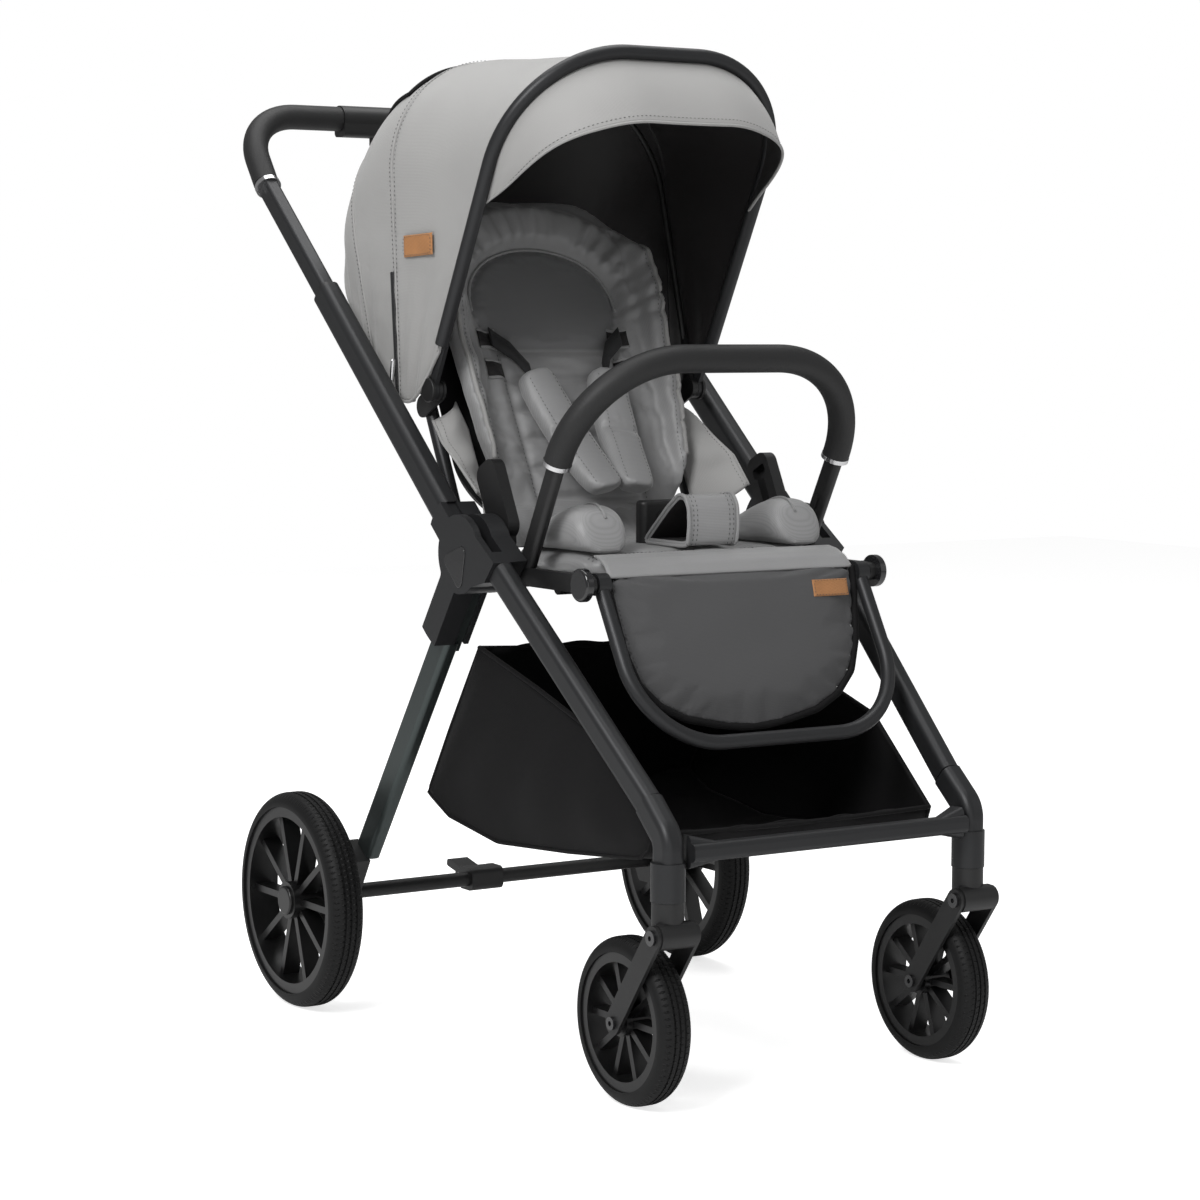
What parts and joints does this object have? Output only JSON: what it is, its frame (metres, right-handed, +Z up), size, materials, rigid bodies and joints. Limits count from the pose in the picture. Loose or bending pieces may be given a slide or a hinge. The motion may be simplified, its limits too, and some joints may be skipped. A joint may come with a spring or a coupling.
{
  "type": "baby stroller",
  "caption": "Folding baby stroller with reclining padded seat, hooded canopy, bumper bar, leg rest, swivel front wheels and under-seat basket.",
  "frame": {"origin": "on the ground, midway between the foremost and rearmost points and between the two sides", "axes": "+Z up, front towards -Y, X along the wheel axles"},
  "size_m": [0.596, 0.9619, 1.1191],
  "materials": {
    "frame_paint": "satin anthracite",
    "rear_leg_paint": "satin green-grey metallic",
    "black_plastic": "fine moulded grain",
    "wheel_plastic": "satin moulded",
    "tyre_rubber": "foam rubber tyre",
    "grip_leather": "dark leatherette",
    "steel": "zinc plated",
    "ring_chrome": "polished",
    "canopy_fabric": "light warm grey woven polyester",
    "seat_fabric": "mid grey satin weave",
    "dark_fabric": "charcoal woven polyester",
    "black_fabric": "black woven polyester"
  },
  "bodies": {
    "chassis": {"hub_castings": "frame_paint", "hub_caps": "black_plastic", "hinge_pins": "steel", "front_legs": "frame_paint", "front_castings": "frame_paint", "front_beam": "frame_paint", "adapter_sockets": "black_plastic", "seat_base_frame": "black_plastic", "seat_cushion": "seat_fabric", "crotch_pad": "canopy_fabric", "harness_buckle": "black_plastic", "recline_plates": "black_plastic", "bumper_posts": "black_plastic", "legrest_knobs": "black_plastic", "basket": "black_fabric"},
    "handle": {"handle_arms": "frame_paint", "telescope_collars": "black_plastic"},
    "handle_top": {"upper_tubes": "frame_paint", "grip_rings": "ring_chrome", "handle_grip": "grip_leather", "handle_cover": "black_plastic"},
    "fold_lever": {"fold_trigger": "black_plastic"},
    "rear_frame": {"rear_legs": "rear_leg_paint", "wheel_brackets": "black_plastic", "rear_axle": "steel", "rear_axle_pins": "steel", "brake_housing": "black_plastic"},
    "brake": {"brake_pedal": "black_plastic"},
    "buckle_release": {"buckle_button": "black_plastic"},
    "backrest": {"backrest_frame": "frame_paint", "backrest_board": "black_plastic", "backrest_pad": "seat_fabric", "shoulder_pads": "seat_fabric", "canopy_pivots": "black_plastic", "canopy_rear_cover": "canopy_fabric"},
    "canopy_mid": {"canopy_mid_hoop": "black_plastic"},
    "canopy_rim": {"canopy_rim_hoop": "frame_paint", "canopy_front_cover": "canopy_fabric"},
    "bumper": {"bumper_bar": "grip_leather", "bumper_plugs": "ring_chrome"},
    "legrest": {"legrest_frame": "frame_paint", "legrest_apron": "dark_fabric"},
    "rear_wheel_left": {"rear_tyre_left": "tyre_rubber", "rear_wheel_left": "wheel_plastic", "rear_hub_cap_left": "wheel_plastic"},
    "caster_left": {"caster_knuckle_left": "black_plastic", "caster_fork_left": "black_plastic", "caster_bolts_left": "steel"},
    "front_wheel_left": {"front_tyre_left": "tyre_rubber", "front_wheel_left": "wheel_plastic"},
    "bumper_push_left": {"bumper_button_left": "black_plastic"},
    "rear_wheel_right": {"rear_tyre_right": "tyre_rubber", "rear_wheel_right": "wheel_plastic", "rear_hub_cap_right": "wheel_plastic"},
    "caster_right": {"caster_knuckle_right": "black_plastic", "caster_fork_right": "black_plastic", "caster_bolts_right": "steel"},
    "front_wheel_right": {"front_tyre_right": "tyre_rubber", "front_wheel_right": "wheel_plastic"},
    "bumper_push_right": {"bumper_button_right": "black_plastic"}
  },
  "joints": [
    {"name": "handle_fold", "type": "hinge", "parent": "chassis", "child": "handle", "pos_m": [0, -0.095, 0.558], "axis": [1, 0, 0], "range_deg": [0, 120]},
    {"name": "handle_telescope", "type": "slide", "parent": "handle", "child": "handle_top", "axis": [0, -0.7604, -0.6494], "range_m": [0, 0.1]},
    {"name": "fold_trigger_pull", "type": "slide", "parent": "handle_top", "child": "fold_lever", "axis": [0, 0, 1], "range_m": [0, 0.006], "stiffness_N_per_m": 300, "springref_m": -0.003},
    {"name": "rear_frame_fold", "type": "hinge", "parent": "chassis", "child": "rear_frame", "pos_m": [0, -0.095, 0.558], "axis": [-1, 0, 0], "range_deg": [0, 30]},
    {"name": "brake_press", "type": "hinge", "parent": "rear_frame", "child": "brake", "pos_m": [0, 0.236, 0.132], "axis": [-1, 0, 0], "range_deg": [0, 20]},
    {"name": "rear_wheel_left_spin", "type": "hinge", "parent": "rear_frame", "child": "rear_wheel_left", "pos_m": [0.275, 0.214, 0.128], "axis": [1, 0, 0], "continuous": true},
    {"name": "caster_left_swivel", "type": "hinge", "parent": "chassis", "child": "caster_left", "pos_m": [0.1965, -0.453, 0.225], "axis": [0, 0, 1], "continuous": true},
    {"name": "front_wheel_left_spin", "type": "hinge", "parent": "caster_left", "child": "front_wheel_left", "pos_m": [0.1965, -0.389, 0.089], "axis": [1, 0, 0], "continuous": true},
    {"name": "bumper_button_left_push", "type": "slide", "parent": "chassis", "child": "bumper_push_left", "axis": [1, 0, 0], "range_m": [0, 0.002], "stiffness_N_per_m": 400, "springref_m": -0.002},
    {"name": "rear_wheel_right_spin", "type": "hinge", "parent": "rear_frame", "child": "rear_wheel_right", "pos_m": [-0.275, 0.214, 0.128], "axis": [1, 0, 0], "continuous": true},
    {"name": "caster_right_swivel", "type": "hinge", "parent": "chassis", "child": "caster_right", "pos_m": [-0.1965, -0.453, 0.225], "axis": [0, 0, 1], "continuous": true},
    {"name": "front_wheel_right_spin", "type": "hinge", "parent": "caster_right", "child": "front_wheel_right", "pos_m": [-0.1965, -0.389, 0.089], "axis": [1, 0, 0], "continuous": true},
    {"name": "bumper_button_right_push", "type": "slide", "parent": "chassis", "child": "bumper_push_right", "axis": [-1, 0, 0], "range_m": [0, 0.002], "stiffness_N_per_m": 400, "springref_m": -0.002},
    {"name": "backrest_recline", "type": "hinge", "parent": "chassis", "child": "backrest", "pos_m": [0, 0.01041, 0.54044], "axis": [-1, 0, 0], "range_deg": [0, 45]},
    {"name": "canopy_mid_fold", "type": "hinge", "parent": "backrest", "child": "canopy_mid", "pos_m": [0, 0.058, 0.735], "axis": [-1, 0, 0], "range_deg": [0, 24], "deforming": ["canopy_rear_cover"]},
    {"name": "canopy_fold", "type": "hinge", "parent": "canopy_mid", "child": "canopy_rim", "pos_m": [0, 0.058, 0.735], "axis": [-1, 0, 0], "range_deg": [0, 30], "deforming": ["canopy_front_cover"]},
    {"name": "legrest_lift", "type": "hinge", "parent": "chassis", "child": "legrest", "pos_m": [0, -0.284, 0.536], "axis": [-1, 0, 0], "range_deg": [0, 50]},
    {"name": "bumper_release", "type": "slide", "parent": "chassis", "child": "bumper", "axis": [0, -0.4695, 0.8829], "range_m": [0, 0.05]},
    {"name": "buckle_button_push", "type": "slide", "parent": "chassis", "child": "buckle_release", "axis": [0, 1, 0], "range_m": [0, 0.002], "stiffness_N_per_m": 400, "springref_m": -0.002}
  ],
  "couplings": [
    {"joint": "rear_frame_fold", "follows": "handle_fold", "ratio": 0.25},
    {"joint": "canopy_mid_fold", "follows": "canopy_fold", "ratio": 0.8}
  ]
}
